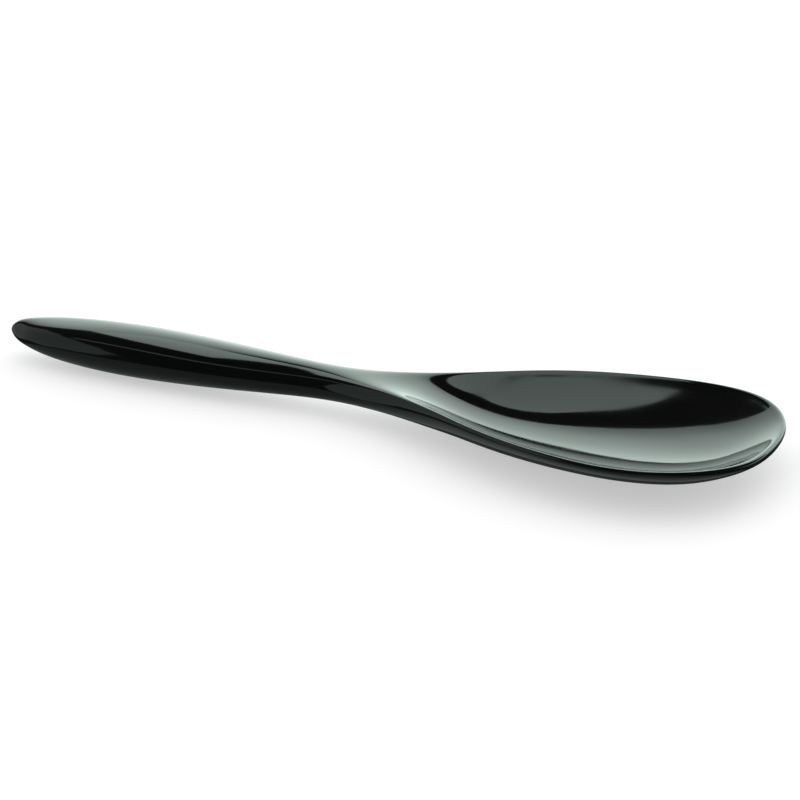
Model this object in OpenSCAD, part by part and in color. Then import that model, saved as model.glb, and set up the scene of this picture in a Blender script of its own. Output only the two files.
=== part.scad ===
// Carved wooden spoon with a black lacquer finish.
//
// The spoon lies level on its belly. X runs from the end of the handle to the
// front of the bowl, Z is up, and the origin is on the table under the middle.
//
// One formula makes the whole surface. A smooth curve joins the stations below,
// and at each place along it the spoon is a plate that sags into a dish between
// two rounded edges. On the handle the rounding reaches right across, so that
// the plate is an oval. The layers are the same surface at different depths.

/* [Bowl] */
// Overall length of the spoon
length = 210; // [180:5:240]
// Width of the bowl at its widest
bowl_width = 64; // [56:1:72]
// Depth of the hollow below the rim
hollow_depth = 9.5; // [8:0.25:11]
// Thickness of the wall and the rim
wall = 2.2; // [2:0.1:3]

/* [Handle] */
// Width of the handle at its fullest
handle_width = 17.5; // [15:0.5:20]
// Thickness of the handle at its fullest
handle_thickness = 12.25; // [10:0.25:14]
// Width of the neck at its narrowest
neck_width = 11; // [9:0.5:13]

/* [Finish] */
// Thickness of the clay and oil ground
ground_thickness = 0.15; // [0.1:0.05:0.2]
// Thickness of the black lacquer
lacquer_thickness = 0.2; // [0.1:0.05:0.25]

/* [Hidden] */

// Fineness of the surfaces: rings along the spoon, and steps across each face.
RINGS = 44;
STEPS = 24;
// How far in from its edge the plate stays level.
RIM = 1.4;

handle = handle_width / 2;
neck = neck_width / 2;
bowl = bowl_width / 2;
half_wall = wall / 2;
fullness = handle_thickness / 2;
// Height of the wall's middle at the bottom of the bowl, against the rim.
belly = -hollow_depth - half_wall;

// Each station is a list of these, with heights measured from the rim.
PLACE = 0;      // place along the spoon, from -1 to 1
WIDTH = 1;      // half of the width
MIDDLE = 2;     // height of the middle line
EDGE = 3;       // height of the two edges
HALF = 4;       // half of the thickness
ABOVE = 5;      // how far in the rounding reaches above the edge
BELOW = 6;      // how far in it reaches below the edge
STATIONS = [
    [-1, 0, -3.9, -4.3, 0.39 * fullness, 5.6, 6],
    [-0.95, 0.53 * handle, -4.1, -5.1, 0.52 * fullness, 7, 7],
    [-0.86, 0.83 * handle, -5.2, -4.35, 0.8 * fullness, 12, 9.5],
    [-0.65, handle, -5, -4.45, 0.99 * fullness, 15, 8.5],
    [-0.4, 0.92 * handle, -4.6, -4.55, 0.915 * fullness, 24, 20],
    [-0.15, neck, -4.2, -4.25, 0.7 * fullness, 10, 7.8],
    [0.02, 1.3 * neck, -4.4, -3.9, 0.61 * fullness, 2.7, 8.4],
    [0.15, 0.355 * bowl, 0.53 * belly, -2.9, 0.55 * fullness, 2.1, 6.6],
    [0.285, 0.565 * bowl, 0.79 * belly, -1.35, 1.78 * half_wall, 1.4, 2.2],
    [0.46, 0.83 * bowl, belly, -0.6, 1.1 * half_wall, 1.1, 1.7],
    [0.7, bowl, 0.99 * belly, -0.5, 0.9 * half_wall, 1, 1.3],
    [0.88, 0.885 * bowl, 0.73 * belly, -0.3, 1.03 * half_wall, 1.7, 1.4],
    [0.975, 0.53 * bowl, 0.325 * belly, -1.3, 1.15 * half_wall, 1, 1.7],
    [1, 0, 0.27 * belly, -2.5, 1.45 * half_wall, 1.6, 1.3],
];

// The curve is drawn through the square of the width, which makes the ends
// round, and through the logarithm of the roundings, which keeps them above 0.
KNOTS = [for (s = STATIONS) [
    s[PLACE] * length / 2, s[WIDTH] * s[WIDTH],
    s[MIDDLE], s[EDGE], s[HALF], ln(s[ABOVE]), ln(s[BELOW])
]];
LAST = len(KNOTS) - 1;

// Control value i of a cubic B-spline, carried on straight past both ends.
function control(c, i) =
    i < 0 ? 2 * c[0] - c[1] :
    i > LAST ? 2 * c[LAST] - c[LAST - 1] :
    c[i];
function smoothed(c, i) = (control(c, i - 1) + 4 * c[i] + control(c, i + 1)) / 6;
// Control values corrected in turns, until the spline passes through the knots.
function corrected(c, turns) =
    turns == 0 ? c :
    corrected([for (i = [0:LAST]) c[i] + 1.5 * (KNOTS[i] - smoothed(c, i))], turns - 1);
CONTROLS = corrected(KNOTS, 24);

function weighted(i, weights) =
    weights[0] * control(CONTROLS, i - 1) + weights[1] * control(CONTROLS, i)
    + weights[2] * control(CONTROLS, i + 1) + weights[3] * control(CONTROLS, i + 2);
// The station at t, which counts knots from the end of the handle.
function station(t) =
    let (i = min(floor(t), LAST - 1), u = t - i)
    weighted(i, [pow(1 - u, 3), (3 * u - 6) * u * u + 4, ((3 - 3 * u) * u + 3) * u + 1, pow(u, 3)] / 6);
// Its rate of change with t.
function rate(t) =
    let (i = min(floor(t), LAST - 1), u = t - i)
    weighted(i, [-pow(1 - u, 2), (3 * u - 4) * u, (2 - 3 * u) * u + 1, u * u] / 2);

// How far something has eased in: 0 at the edge, near 1 once inward is 3 or more.
function eased(inward) = 1 - exp(-inward);
// The same for the two ends of the spoon, at a place along it.
function eased_ends(place, first_reach, last_reach) =
    eased(2 * (place - KNOTS[0][PLACE]) / first_reach)
    * eased(2 * (KNOTS[LAST][PLACE] - place) / last_reach);

// Height of the face above or below the edge, v of the way out from the middle.
// The plate leaves its edge level, and the square roots make the edge round.
function face(s, v, column, spread) =
    let (
        side = column == ABOVE ? 1 : -1,
        in_from_edge = 1 - v * v,
        stretch = spread / s[WIDTH],
        reach = exp(s[column]) * stretch,
        level = eased(in_from_edge / RIM / stretch) * eased_ends(s[PLACE], RIM, RIM),
        sag = (s[EDGE] - s[MIDDLE]) * in_from_edge * level,
        ends = eased_ends(s[PLACE], exp(KNOTS[0][column]), exp(KNOTS[LAST][column]))
    )
    s[EDGE] - sag + side * s[HALF] * sqrt(ends * eased(in_from_edge / reach) / eased(1 / reach));

function sinh(x) = (exp(x) - exp(-x)) / 2;
// Steps from one edge, at 1, to the other, at -1, that crowd towards both.
function across(a) = a > 0.5 ? -across(1 - a) : cos(90 * sinh(3 * a) / sinh(1.5));
function ring(t) =
    let (
        s = station(t),
        slope = rate(t)[WIDTH] / rate(t)[PLACE] / 2,
        spread = norm([slope, sqrt(s[WIDTH])])
    )
    [for (column = [ABOVE, BELOW], k = [0:STEPS - 1])
        let (v = across(k / STEPS) * (column == ABOVE ? 1 : -1))
        [s[PLACE], sqrt(s[WIDTH]) * v, face(s, v, column, spread)]];
// A ring that has shrunk to the point where the spoon ends.
function end_ring(knot) = [for (k = [1:2 * STEPS]) [knot[PLACE], 0, knot[EDGE]]];
// Steps from 0 to LAST that crowd towards both ends.
function along(a) = LAST * (a - 0.85 * sin(360 * a) / (2 * PI));
SURFACE = [
    end_ring(KNOTS[0]),
    for (i = [1:RINGS]) ring(along(i / (RINGS + 1))),
    end_ring(KNOTS[LAST])
];

// The surface moved inwards, square to itself.
function inset(depth) =
    let (r = SURFACE, n = 2 * STEPS)
    [for (i = [0:RINGS + 1]) [for (k = [0:n - 1])
        i == 0 ? r[i][k] + [depth, 0, 0] :
        i == RINGS + 1 ? r[i][k] - [depth, 0, 0] :
        let (normal = cross(r[i][(k + 1) % n] - r[i][(k + n - 1) % n], r[i + 1][k] - r[i - 1][k]))
        r[i][k] - normal * depth / norm(normal)]];

// Height of the rim above the table.
lift = -min([for (r = SURFACE, p = r) p.z]);

// The solid that lies deeper than this inside the surface.
module inside(depth) {
    r = inset(depth);
    n = 2 * STEPS;
    last_ring = 1 + (RINGS - 1) * n;
    points = [r[0][0], for (i = [1:RINGS]) each r[i], r[RINGS + 1][0]];
    faces = [
        for (k = [0:n - 1]) [0, 1 + k, 1 + (k + 1) % n],
        for (a = [1:n:last_ring - n], k = [0:n - 1])
            let (p = a + k, q = a + (k + 1) % n)
            each [[p, q + n, q], [p, p + n, q + n]],
        for (k = [0:n - 1]) [last_ring + n, last_ring + (k + 1) % n, last_ring + k]
    ];
    translate([0, 0, lift])
        polyhedron(points, faces);
}

// The blank, carved from one piece of wood: bowl, neck and handle.
module wood_core() {
    color("burlywood")
        inside(lacquer_thickness + ground_thickness);
}

// The thin clay and oil ground that fills the grain all round the blank.
module ground_coat() {
    color("tan")
        difference() {
            inside(lacquer_thickness);
            inside(lacquer_thickness + ground_thickness);
        }
}

// The black lacquer that seals the whole spoon.
module lacquer_coat() {
    color("black")
        difference() {
            inside(0);
            inside(lacquer_thickness);
        }
}

wood_core();
ground_coat();
lacquer_coat();
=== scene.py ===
import math

import bpy
import numpy as np
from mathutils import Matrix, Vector


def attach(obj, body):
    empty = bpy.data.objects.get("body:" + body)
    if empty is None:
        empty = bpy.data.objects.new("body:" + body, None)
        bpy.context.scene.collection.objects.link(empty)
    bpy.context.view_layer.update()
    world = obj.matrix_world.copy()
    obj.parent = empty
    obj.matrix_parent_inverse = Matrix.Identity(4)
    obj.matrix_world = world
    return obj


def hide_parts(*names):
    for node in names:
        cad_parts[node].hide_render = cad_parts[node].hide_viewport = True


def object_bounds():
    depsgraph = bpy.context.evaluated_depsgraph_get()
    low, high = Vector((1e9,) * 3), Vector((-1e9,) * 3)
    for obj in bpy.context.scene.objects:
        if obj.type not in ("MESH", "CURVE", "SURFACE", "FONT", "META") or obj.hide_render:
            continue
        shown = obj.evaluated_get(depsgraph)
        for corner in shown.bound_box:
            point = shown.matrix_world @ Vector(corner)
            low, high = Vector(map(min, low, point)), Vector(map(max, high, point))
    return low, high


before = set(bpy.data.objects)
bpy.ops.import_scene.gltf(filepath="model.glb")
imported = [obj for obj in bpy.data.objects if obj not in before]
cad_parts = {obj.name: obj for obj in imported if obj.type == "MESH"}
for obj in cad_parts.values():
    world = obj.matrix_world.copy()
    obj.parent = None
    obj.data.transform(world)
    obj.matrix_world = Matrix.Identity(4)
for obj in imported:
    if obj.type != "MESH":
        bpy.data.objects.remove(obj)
cad_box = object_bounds()

MM = 0.001
LENGTH = round((cad_box[1][0] - cad_box[0][0]) / MM, 1)

# ---------------------------------------------------------------- camera
# The spoon is seen from its side, turned towards the front of the bowl and a little from above.
CAMERA_AZIMUTH = 27.6
CAMERA_ELEVATION = 19.9
CAMERA_DISTANCE = 3 * LENGTH * MM
CAMERA_LENS = 116.3
CAMERA_NEAREST = 0.01
# What the camera looks at, in mm from the middle of the spoon's length, at the height of the rim.
CAMERA_TARGET = (9.8, 0.0, -5.5)


def towards(azimuth, elevation):
    """Unit vector from the object: azimuth 0 is -Y, 90 is +X."""
    a, e = math.radians(azimuth), math.radians(elevation)
    return Vector((math.sin(a) * math.cos(e), -math.cos(a) * math.cos(e), math.sin(e)))


def facing(direction):
    """Rotation that turns local +Z to a direction, with local +Y up."""
    return direction.to_track_quat("Z", "Y").to_euler()


# ---------------------------------------------------------------- shape, in mm
HALF_BOWL = 64.0 / 2
HALF_HANDLE = 17.5 / 2
HALF_NECK = 11.0 / 2
HALF_THICKNESS = 12.25 / 2
HALF_WALL = 2.2 / 2
HOLLOW_DEPTH = 9.5
# Height of the wall's middle at the bottom of the bowl, against the rim.
BELLY = -HOLLOW_DEPTH - HALF_WALL
# How far in from its edge the plate stays level.
RIM = 1.4
# The two coats.
LACQUER = 0.2
GROUND = 0.15

# Place along the spoon from -1 to 1, half width, height of the middle line, height of the edges,
# half thickness, and how far in the rounding reaches above and below the edge.
STATIONS = [
    (-1, 0, -3.9, -4.3, 0.39 * HALF_THICKNESS, 5.6, 6),
    (-0.95, 0.53 * HALF_HANDLE, -4.1, -5.1, 0.52 * HALF_THICKNESS, 7, 7),
    (-0.86, 0.83 * HALF_HANDLE, -5.2, -4.35, 0.8 * HALF_THICKNESS, 12, 9.5),
    (-0.65, HALF_HANDLE, -5, -4.45, 0.99 * HALF_THICKNESS, 15, 8.5),
    (-0.4, 0.92 * HALF_HANDLE, -4.6, -4.55, 0.915 * HALF_THICKNESS, 24, 20),
    (-0.15, HALF_NECK, -4.2, -4.25, 0.7 * HALF_THICKNESS, 10, 7.8),
    (0.02, 1.3 * HALF_NECK, -4.4, -3.9, 0.61 * HALF_THICKNESS, 2.7, 8.4),
    (0.15, 0.355 * HALF_BOWL, 0.53 * BELLY, -2.9, 0.55 * HALF_THICKNESS, 2.1, 6.6),
    (0.285, 0.565 * HALF_BOWL, 0.79 * BELLY, -1.35, 1.78 * HALF_WALL, 1.4, 2.2),
    (0.46, 0.83 * HALF_BOWL, BELLY, -0.6, 1.1 * HALF_WALL, 1.1, 1.7),
    (0.7, HALF_BOWL, 0.99 * BELLY, -0.5, 0.9 * HALF_WALL, 1, 1.3),
    (0.88, 0.885 * HALF_BOWL, 0.73 * BELLY, -0.3, 1.03 * HALF_WALL, 1.7, 1.4),
    (0.975, 0.53 * HALF_BOWL, 0.325 * BELLY, -1.3, 1.15 * HALF_WALL, 1, 1.7),
    (1, 0, 0.27 * BELLY, -2.5, 1.45 * HALF_WALL, 1.6, 1.3),
]
PLACE, WIDTH, MIDDLE, EDGE, HALF, ABOVE, BELOW = range(7)

# Rings along the spoon and steps across each face: of what is seen, and of the hidden layers.
SEEN = (360, 112)
HIDDEN = (160, 48)
# How strongly the rings crowd towards the two ends, below 1, and the steps towards the two edges.
END_CROWDING = 0.85
EDGE_CROWDING = 3

# The curve is drawn through the square of the width, which makes the ends round, and through
# the logarithm of the roundings, which keeps them above 0.
knots = np.array(STATIONS, float)
knots[:, PLACE] = knots[:, PLACE] * LENGTH / 2
knots[:, WIDTH] = knots[:, WIDTH] ** 2
knots[:, [ABOVE, BELOW]] = np.log(knots[:, [ABOVE, BELOW]])
last = len(knots) - 1


def spline_controls(values):
    """Control values of the cubic B-spline through the values, carried on straight past both ends."""
    beside = np.diag([1.0] * last, 1) + np.diag([1.0] * last, -1)
    matrix = (np.diag([4.0] * (last + 1)) + beside) / 6
    matrix[0, :2] = matrix[-1, -2:] = 0
    matrix[0, 0] = matrix[-1, -1] = 1
    inner = np.linalg.solve(matrix, values)
    return np.vstack([2 * inner[0] - inner[1], inner, 2 * inner[-1] - inner[-2]])


controls = spline_controls(knots)


def stations_at(t):
    """The stations at the parameters t, which count knots, and their rate of change."""
    i = np.minimum(np.floor(t), last - 1).astype(int)
    u = (t - i)[:, None]
    near = [controls[i + k] for k in range(4)]
    weights = (
        (1 - u) ** 3 / 6,
        (3 * u**3 - 6 * u**2 + 4) / 6,
        (3 * u + 3 * u**2 - 3 * u**3 + 1) / 6,
        u**3 / 6,
    )
    rates = (-((1 - u) ** 2) / 2, (3 * u**2 - 4 * u) / 2, (2 * u - 3 * u**2 + 1) / 2, u**2 / 2)
    return sum(w * v for w, v in zip(weights, near)), sum(w * v for w, v in zip(rates, near))


def eased(inward):
    """How far something has eased in: 0 at the edge, near 1 once inward is 3 or more."""
    return 1 - np.exp(-inward)


def across(a):
    """Places from one edge, at 1, to the other, at -1, that crowd towards both as a goes from 0 to 1."""
    crowded = np.sinh(EDGE_CROWDING * np.minimum(a, 1 - a)) / math.sinh(EDGE_CROWDING / 2)
    return np.sign(0.5 - a) * np.cos(math.pi / 2 * crowded)


def surface_grid(rings, steps):
    """Points of the outer surface, as rings by steps by 3, in mm, with the rim at about 0."""
    a = np.arange(1, rings + 1) / (rings + 1)
    t = last * (a - END_CROWDING * np.sin(2 * math.pi * a) / (2 * math.pi))
    s, rate = stations_at(t)
    place, width2, middle, edge, half = (s[:, [k]] for k in (PLACE, WIDTH, MIDDLE, EDGE, HALF))
    width = np.sqrt(width2)
    slope = rate[:, [WIDTH]] / rate[:, [PLACE]] / 2
    stretch = np.sqrt(slope**2 + width2) / width2
    from_start, from_end = place - knots[0, PLACE], knots[-1, PLACE] - place

    def eased_ends(first_reach, last_reach):
        return eased(2 * from_start / first_reach) * eased(2 * from_end / last_reach)

    faces = []
    for column, side in ((ABOVE, 1), (BELOW, -1)):
        v = across(np.arange(steps) / steps)[None, :] * side
        in_from_edge = 1 - v * v
        reach = np.exp(s[:, [column]]) * stretch
        level = eased(in_from_edge / RIM / stretch) * eased_ends(RIM, RIM)
        ends = eased_ends(math.exp(knots[0, column]), math.exp(knots[-1, column]))
        rounding = ends * eased(in_from_edge / reach) / eased(1 / reach)
        z = edge - (edge - middle) * in_from_edge * level + side * half * np.sqrt(rounding)
        faces.append(np.stack([np.broadcast_to(place, z.shape), width * v, z], -1))
    return np.concatenate(faces, 1)


def closed_rings(rings, steps):
    """The same, with a ring that has shrunk to a point at each end."""
    grid = surface_grid(rings, steps)
    tips = [np.broadcast_to([knot[PLACE], 0, knot[EDGE]], grid[:1].shape) for knot in (knots[0], knots[-1])]
    return np.concatenate([tips[0], grid, tips[1]])


# Height of the rim above the table, with the spoon lying level on its belly.
LIFT = -closed_rings(*SEEN)[:, :, 2].min()


def inset(depth):
    """The surface moved inwards by a depth in mm, as points in metres."""
    outer = closed_rings(*(HIDDEN if depth else SEEN))
    moved = outer.copy()
    around = np.roll(outer, -1, 1) - np.roll(outer, 1, 1)
    normal = np.cross(around[1:-1], outer[2:] - outer[:-2])
    moved[1:-1] -= depth * normal / np.linalg.norm(normal, axis=-1, keepdims=True)
    moved[0, :, 0] += depth
    moved[-1, :, 0] -= depth
    return (moved + (0, 0, LIFT)) * MM


def shell_mesh(name, depths):
    """A closed mesh of the surface at the first depth, hollow inside the second one, if there is one."""
    verts, faces = [], []
    for depth in depths:
        rings = inset(depth)
        steps = rings.shape[1]
        start, first_ring = len(verts), len(verts) + 1
        verts += [tuple(rings[0, 0]), *map(tuple, rings[1:-1].reshape(-1, 3)), tuple(rings[-1, 0])]
        end = len(verts) - 1
        last_ring = end - steps
        beside = [(j + 1) % steps for j in range(steps)]
        own = [(start, first_ring + j, first_ring + k) for j, k in enumerate(beside)]
        for a in range(first_ring, last_ring, steps):
            own += [(a + j, a + steps + j, a + steps + k, a + k) for j, k in enumerate(beside)]
        own += [(end, last_ring + k, last_ring + j) for j, k in enumerate(beside)]
        faces += own if depth == depths[0] else [face[::-1] for face in own]
    mesh = bpy.data.meshes.new(name)
    mesh.from_pydata(verts, [], faces)
    mesh.shade_smooth()
    return mesh


def new_object(name, data):
    """A new object in the scene."""
    obj = bpy.data.objects.new(name, data)
    bpy.context.scene.collection.objects.link(obj)
    return obj


# ---------------------------------------------------------------- camera and view
camera = new_object("camera", bpy.data.cameras.new("camera"))
camera.data.lens = CAMERA_LENS
camera.data.clip_start = CAMERA_NEAREST
view_from = towards(CAMERA_AZIMUTH, CAMERA_ELEVATION)
target = Vector(CAMERA_TARGET) * MM + Vector((0, 0, LIFT * MM))
camera.location = target + view_from * CAMERA_DISTANCE
camera.rotation_euler = facing(view_from)
bpy.context.scene.camera = camera
bpy.context.scene.view_settings.view_transform = "Standard"


# ---------------------------------------------------------------- materials
def new_material(name):
    """A new material, with its nodes and links."""
    mat = bpy.data.materials.new(name)
    mat.use_nodes = True
    return mat, mat.node_tree.nodes, mat.node_tree.links


def noise(nodes, links, place, scale, detail=3.0):
    """Noise with a scale in cells per metre along each axis."""
    stretch = nodes.new("ShaderNodeMapping")
    stretch.inputs["Scale"].default_value = scale
    links.new(place.outputs["Object"], stretch.inputs["Vector"])
    texture = nodes.new("ShaderNodeTexNoise")
    texture.inputs["Scale"].default_value = 1
    texture.inputs["Detail"].default_value = detail
    links.new(stretch.outputs[0], texture.inputs["Vector"])
    return texture.outputs["Fac"]


def spread(nodes, links, value, low, high, start=0.3, end=0.7):
    """A value between start and end, spread over low to high."""
    change = nodes.new("ShaderNodeMapRange")
    for name, number in (("From Min", start), ("From Max", end), ("To Min", low), ("To Max", high)):
        change.inputs[name].default_value = number
    links.new(value, change.inputs["Value"])
    return change.outputs[0]


def shades(nodes, links, value, stops, interpolation="LINEAR"):
    """The colour of a value. The stops are values from 0 to 1, each with its colour."""
    ramp = nodes.new("ShaderNodeValToRGB")
    ramp.color_ramp.interpolation = interpolation
    elements = ramp.color_ramp.elements
    while len(elements) < len(stops):
        elements.new(0.5)
    for element, (where, color) in zip(elements, stops):
        element.position = where
        element.color = (*color, 1)
    links.new(value, ramp.inputs["Fac"])
    return ramp.outputs["Color"]


def multiplied(nodes, links, *colors):
    """The product of two colours, each a plain colour or a node's output."""
    product = nodes.new("ShaderNodeMix")
    product.data_type = "RGBA"
    product.blend_type = "MULTIPLY"
    product.inputs["Factor"].default_value = 1
    for name, color in zip("AB", colors):
        if isinstance(color, tuple):
            product.inputs[name].default_value = color
        else:
            links.new(color, product.inputs[name])
    return product.outputs["Result"]


def bump(nodes, links, height, distance, under=None):
    """Relief of a height from 0 to 1 that stands for a distance in metres, on top of another relief."""
    relief = nodes.new("ShaderNodeBump")
    relief.inputs["Strength"].default_value = 1
    relief.inputs["Distance"].default_value = distance
    links.new(height, relief.inputs["Height"])
    if under:
        links.new(under, relief.inputs["Normal"])
    return relief.outputs[0]


def lacquer_material():
    """Black lacquer, brushed on in long soft waves and rubbed to a gloss.

    It is duller where it is handled, and where it is set down on the table.
    """
    blacks = [(0.35, (0.0006, 0.0008, 0.0008)), (0.65, (0.0015, 0.0017, 0.0016))]
    glossy, handled = 0.045, 0.095
    scuffed, scuffed_below = 0.16, 1.2 * MM
    wave_height, peel_height = 0.02 * MM, 0.0006 * MM

    mat, nodes, links = new_material("black_lacquer")
    shader = nodes["Principled BSDF"]
    shader.inputs["IOR"].default_value = 1.52
    place = nodes.new("ShaderNodeTexCoord")
    cloud = noise(nodes, links, place, (25, 45, 45))
    links.new(shades(nodes, links, cloud, blacks), shader.inputs["Base Color"])
    touch = noise(nodes, links, place, (60, 140, 140), 6)
    position = nodes.new("ShaderNodeSeparateXYZ")
    links.new(place.outputs["Object"], position.inputs[0])
    rough = nodes.new("ShaderNodeMath")
    rough.operation = "ADD"
    links.new(spread(nodes, links, touch, glossy, handled), rough.inputs[0])
    links.new(spread(nodes, links, position.outputs["Z"], scuffed, 0, 0, scuffed_below), rough.inputs[1])
    links.new(rough.outputs[0], shader.inputs["Roughness"])
    waves = bump(nodes, links, noise(nodes, links, place, (70, 160, 160), 1), wave_height)
    peel = bump(nodes, links, noise(nodes, links, place, (700, 900, 900), 2), peel_height, waves)
    links.new(peel, shader.inputs["Normal"])
    return mat


def wood_material():
    """Linden: pale, with fine straight grain along the spoon, faint growth bands and short pores."""
    linden = [(0.3, (0.6, 0.42, 0.24)), (0.5, (0.73, 0.54, 0.34)), (0.7, (0.8, 0.62, 0.42))]
    pore = [(0.32, (0.7, 0.66, 0.6)), (0.45, (1, 1, 1))]
    in_pores, on_fibres = 0.68, 0.5
    fibre_height = 0.04 * MM

    mat, nodes, links = new_material("linden_wood")
    shader = nodes["Principled BSDF"]
    place = nodes.new("ShaderNodeTexCoord")
    bands = noise(nodes, links, place, (8, 260, 260), 2)
    fibres = noise(nodes, links, place, (60, 2400, 2400), 4)
    color = multiplied(
        nodes, links, shades(nodes, links, bands, linden), shades(nodes, links, fibres, pore)
    )
    links.new(color, shader.inputs["Base Color"])
    links.new(spread(nodes, links, fibres, in_pores, on_fibres), shader.inputs["Roughness"])
    links.new(bump(nodes, links, fibres, fibre_height), shader.inputs["Normal"])
    return mat


def ground_material():
    """Clay and oil ground: matt and mottled, with the marks of the rag that spread it."""
    clay = [(0.3, (0.4, 0.33, 0.25)), (0.55, (0.5, 0.42, 0.33)), (0.75, (0.58, 0.5, 0.4))]
    matt, rubbed = 0.9, 0.72
    mark_height = 0.03 * MM

    mat, nodes, links = new_material("clay_ground")
    shader = nodes["Principled BSDF"]
    place = nodes.new("ShaderNodeTexCoord")
    mottle = noise(nodes, links, place, (90, 130, 130), 5)
    marks = noise(nodes, links, place, (120, 1500, 1500), 3)
    links.new(shades(nodes, links, mottle, clay), shader.inputs["Base Color"])
    links.new(spread(nodes, links, marks, matt, rubbed), shader.inputs["Roughness"])
    links.new(bump(nodes, links, marks, mark_height), shader.inputs["Normal"])
    return mat


def floor_material():
    """A pale table that glows a little, so that the shadow on it stays light."""
    pale, glow = 0.5, 0.48
    mat, nodes, _ = new_material("floor")
    shader = nodes["Principled BSDF"]
    shader.inputs["Base Color"].default_value = (pale, pale, pale, 1)
    shader.inputs["Roughness"].default_value = 0.9
    shader.inputs["Emission Color"].default_value = (1, 1, 1, 1)
    shader.inputs["Emission Strength"].default_value = glow
    return mat


# ---------------------------------------------------------------- pieces
LAYERS = (
    ("wood_core", (LACQUER + GROUND,), "linden_wood", wood_material()),
    ("ground_coat", (LACQUER, LACQUER + GROUND), "clay_ground", ground_material()),
    ("lacquer_coat", (0, LACQUER), "black_lacquer", lacquer_material()),
)
for node, depths, slot, material in LAYERS:
    piece = new_object("fine_" + node, shell_mesh("fine_" + node, depths))
    piece.data.materials.append(material)
    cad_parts[node].data.materials.clear()
    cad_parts[node].data.materials.append(material)
    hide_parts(node)
    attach(piece, "root")

# ---------------------------------------------------------------- floor
HALF_FLOOR = 4.0
floor_corners = [(x * HALF_FLOOR, y * HALF_FLOOR, 0) for x, y in ((-1, -1), (1, -1), (1, 1), (-1, 1))]
floor_mesh = bpy.data.meshes.new("floor")
floor_mesh.from_pydata(floor_corners, [], [(0, 1, 2, 3)])
floor = new_object("floor", floor_mesh)
floor.data.materials.append(floor_material())
floor.visible_glossy = False

# ---------------------------------------------------------------- light, in metres
# Only reflections see the panels below. They are a little green, as the reflections are.
LIGHT_COLOR = (0.84, 1.0, 0.93, 1)
# How bright the even white light all round is, and how much of it the reflections see.
ROOM_LIGHT = 1.12
ROOM_REFLECTED = 0.04


def brightness_along(nodes, links, place, stops):
    """A smooth grey along one axis. The stops are places on it in metres, each with its brightness."""
    low, high = stops[0][0], stops[-1][0]
    shares = [((where - low) / (high - low), (share, share, share)) for where, share in stops]
    return shades(nodes, links, spread(nodes, links, place, 0, 1, low, high), shares, "EASE")


def panel(name, corners, radiance, **along):
    """A glowing flat panel that only reflections see, with a smooth brightness along one or two axes."""
    mesh = bpy.data.meshes.new(name)
    mesh.from_pydata(corners, [], [tuple(range(len(corners)))])
    obj = new_object(name, mesh)
    obj.visible_camera = obj.visible_diffuse = obj.visible_shadow = False
    mat, nodes, links = new_material(name)
    nodes.clear()
    glow = nodes.new("ShaderNodeEmission")
    glow.inputs["Color"].default_value = LIGHT_COLOR
    glow.inputs["Strength"].default_value = radiance
    output = nodes.new("ShaderNodeOutputMaterial")
    links.new(glow.outputs[0], output.inputs["Surface"])
    geometry = nodes.new("ShaderNodeNewGeometry")
    position = nodes.new("ShaderNodeSeparateXYZ")
    links.new(geometry.outputs["Position"], position.inputs[0])
    color = LIGHT_COLOR
    for axis, stops in along.items():
        share = brightness_along(nodes, links, position.outputs[axis.upper()], stops)
        color = multiplied(nodes, links, color, share)
        links.new(color, glow.inputs["Color"])
    mesh.materials.append(mat)


# The big softbox behind the spoon, with its top edge a little bent.
BACK = 0.6
BACKDROP = [(-1.1, 0), (0.45, 0), (0.45, 0.71), (-0.05, 0.74), (-0.2, 0.765), (-0.3, 0.83),
            (-0.42, 0.84), (-0.5, 0.79), (-0.58, 0.7), (-0.65, 0.65), (-1.1, 0.65)]
panel("backdrop", [(x, BACK, z) for x, z in BACKDROP], radiance=2.95,
      z=[(0, 0.9), (0.25, 1), (0.5, 1), (0.84, 0.65)],
      x=[(-1.1, 0.25), (-0.55, 0.5), (-0.32, 0.75), (-0.15, 1), (0.45, 1)])

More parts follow.
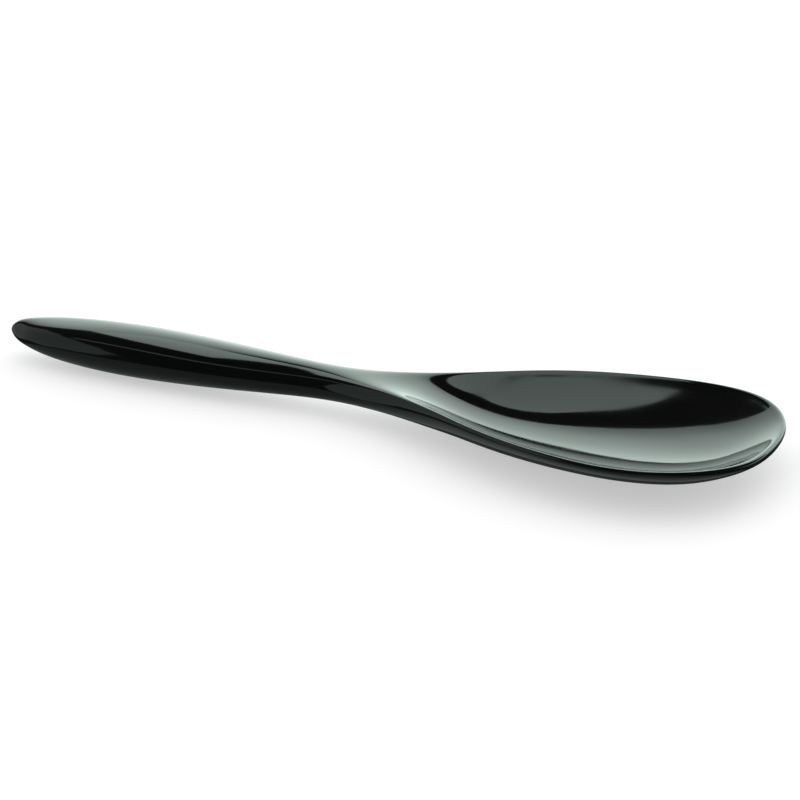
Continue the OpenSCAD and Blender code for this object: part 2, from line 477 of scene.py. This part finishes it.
# Overhead: a softbox beyond the handle, a small one above the bowl, and a dim strip in front on the left.
CEILING = 0.4
SIDE = [(-0.5, 0.42), (-0.22, -0.06), (-0.2, 0.1), (-0.22, 0.2), (-0.28, 0.28), (-0.35, 0.38),
        (-0.42, 0.42)]
LENS = [(0.065, -0.03), (0.08, -0.03), (0.068, 0.02), (0.058, 0.05), (0.05, 0.085), (0.042, 0.11),
        (0.033, 0.145), (0.027, 0.17), (0.015, 0.19), (-0.005, 0.2), (-0.025, 0.2),
        (-0.045, 0.185), (-0.055, 0.16), (-0.055, 0.12), (-0.05, 0.09), (-0.03, 0.065),
        (-0.01, 0.04), (0.02, -0.01), (0.04, -0.025)]
STRIP = [(-0.16, -0.44), (-0.2, -0.48), (-0.46, -0.22), (-0.42, -0.18)]
panel("side", [(x, y, CEILING) for x, y in SIDE], radiance=2.6,
      x=[(-0.5, 0.6), (-0.35, 0.8), (-0.2, 1)])
panel("overhead", [(x, y, CEILING) for x, y in LENS], radiance=1.8)
panel("strip", [(x, y, CEILING) for x, y in STRIP], radiance=0.7)

# Dim surroundings: the table behind the spoon, the room on the left, and what is below the spoon.
LEFT = -1.0
UNDER = -0.3
TABLE = [(-0.95, 0.06), (0.35, 0.06), (0.35, BACK), (-0.95, BACK)]
ROOM = [(-1.42, 0), (-1.2, 0.45), (-0.8, 0.8), (-0.2, 1), (0.3, 0.9),
        (0.3, -0.3), (-0.4, -0.3), (-0.6, -0.62), (-1, -0.55), (-1.2, -0.43)]
BELOW_SPOON = [(-0.5, -0.75), (0.4, -0.75), (0.4, 0.3), (-0.5, 0.3)]
panel("table_behind", [(x, y, 0) for x, y in TABLE], radiance=1.5)
panel("left", [(LEFT, y, z) for y, z in ROOM], radiance=0.42)
panel("below", [(x, y, UNDER) for x, y in BELOW_SPOON], radiance=0.2)

world = bpy.data.worlds.new("studio")
world.use_nodes = True
nodes, links = world.node_tree.nodes, world.node_tree.links
rays = nodes.new("ShaderNodeLightPath")
strength = spread(nodes, links, rays.outputs["Is Glossy Ray"], ROOM_LIGHT, ROOM_REFLECTED, 0, 1)
surroundings = nodes["Background"]
surroundings.inputs["Color"].default_value = (1, 1, 1, 1)
links.new(strength, surroundings.inputs["Strength"])
bpy.context.scene.world = world
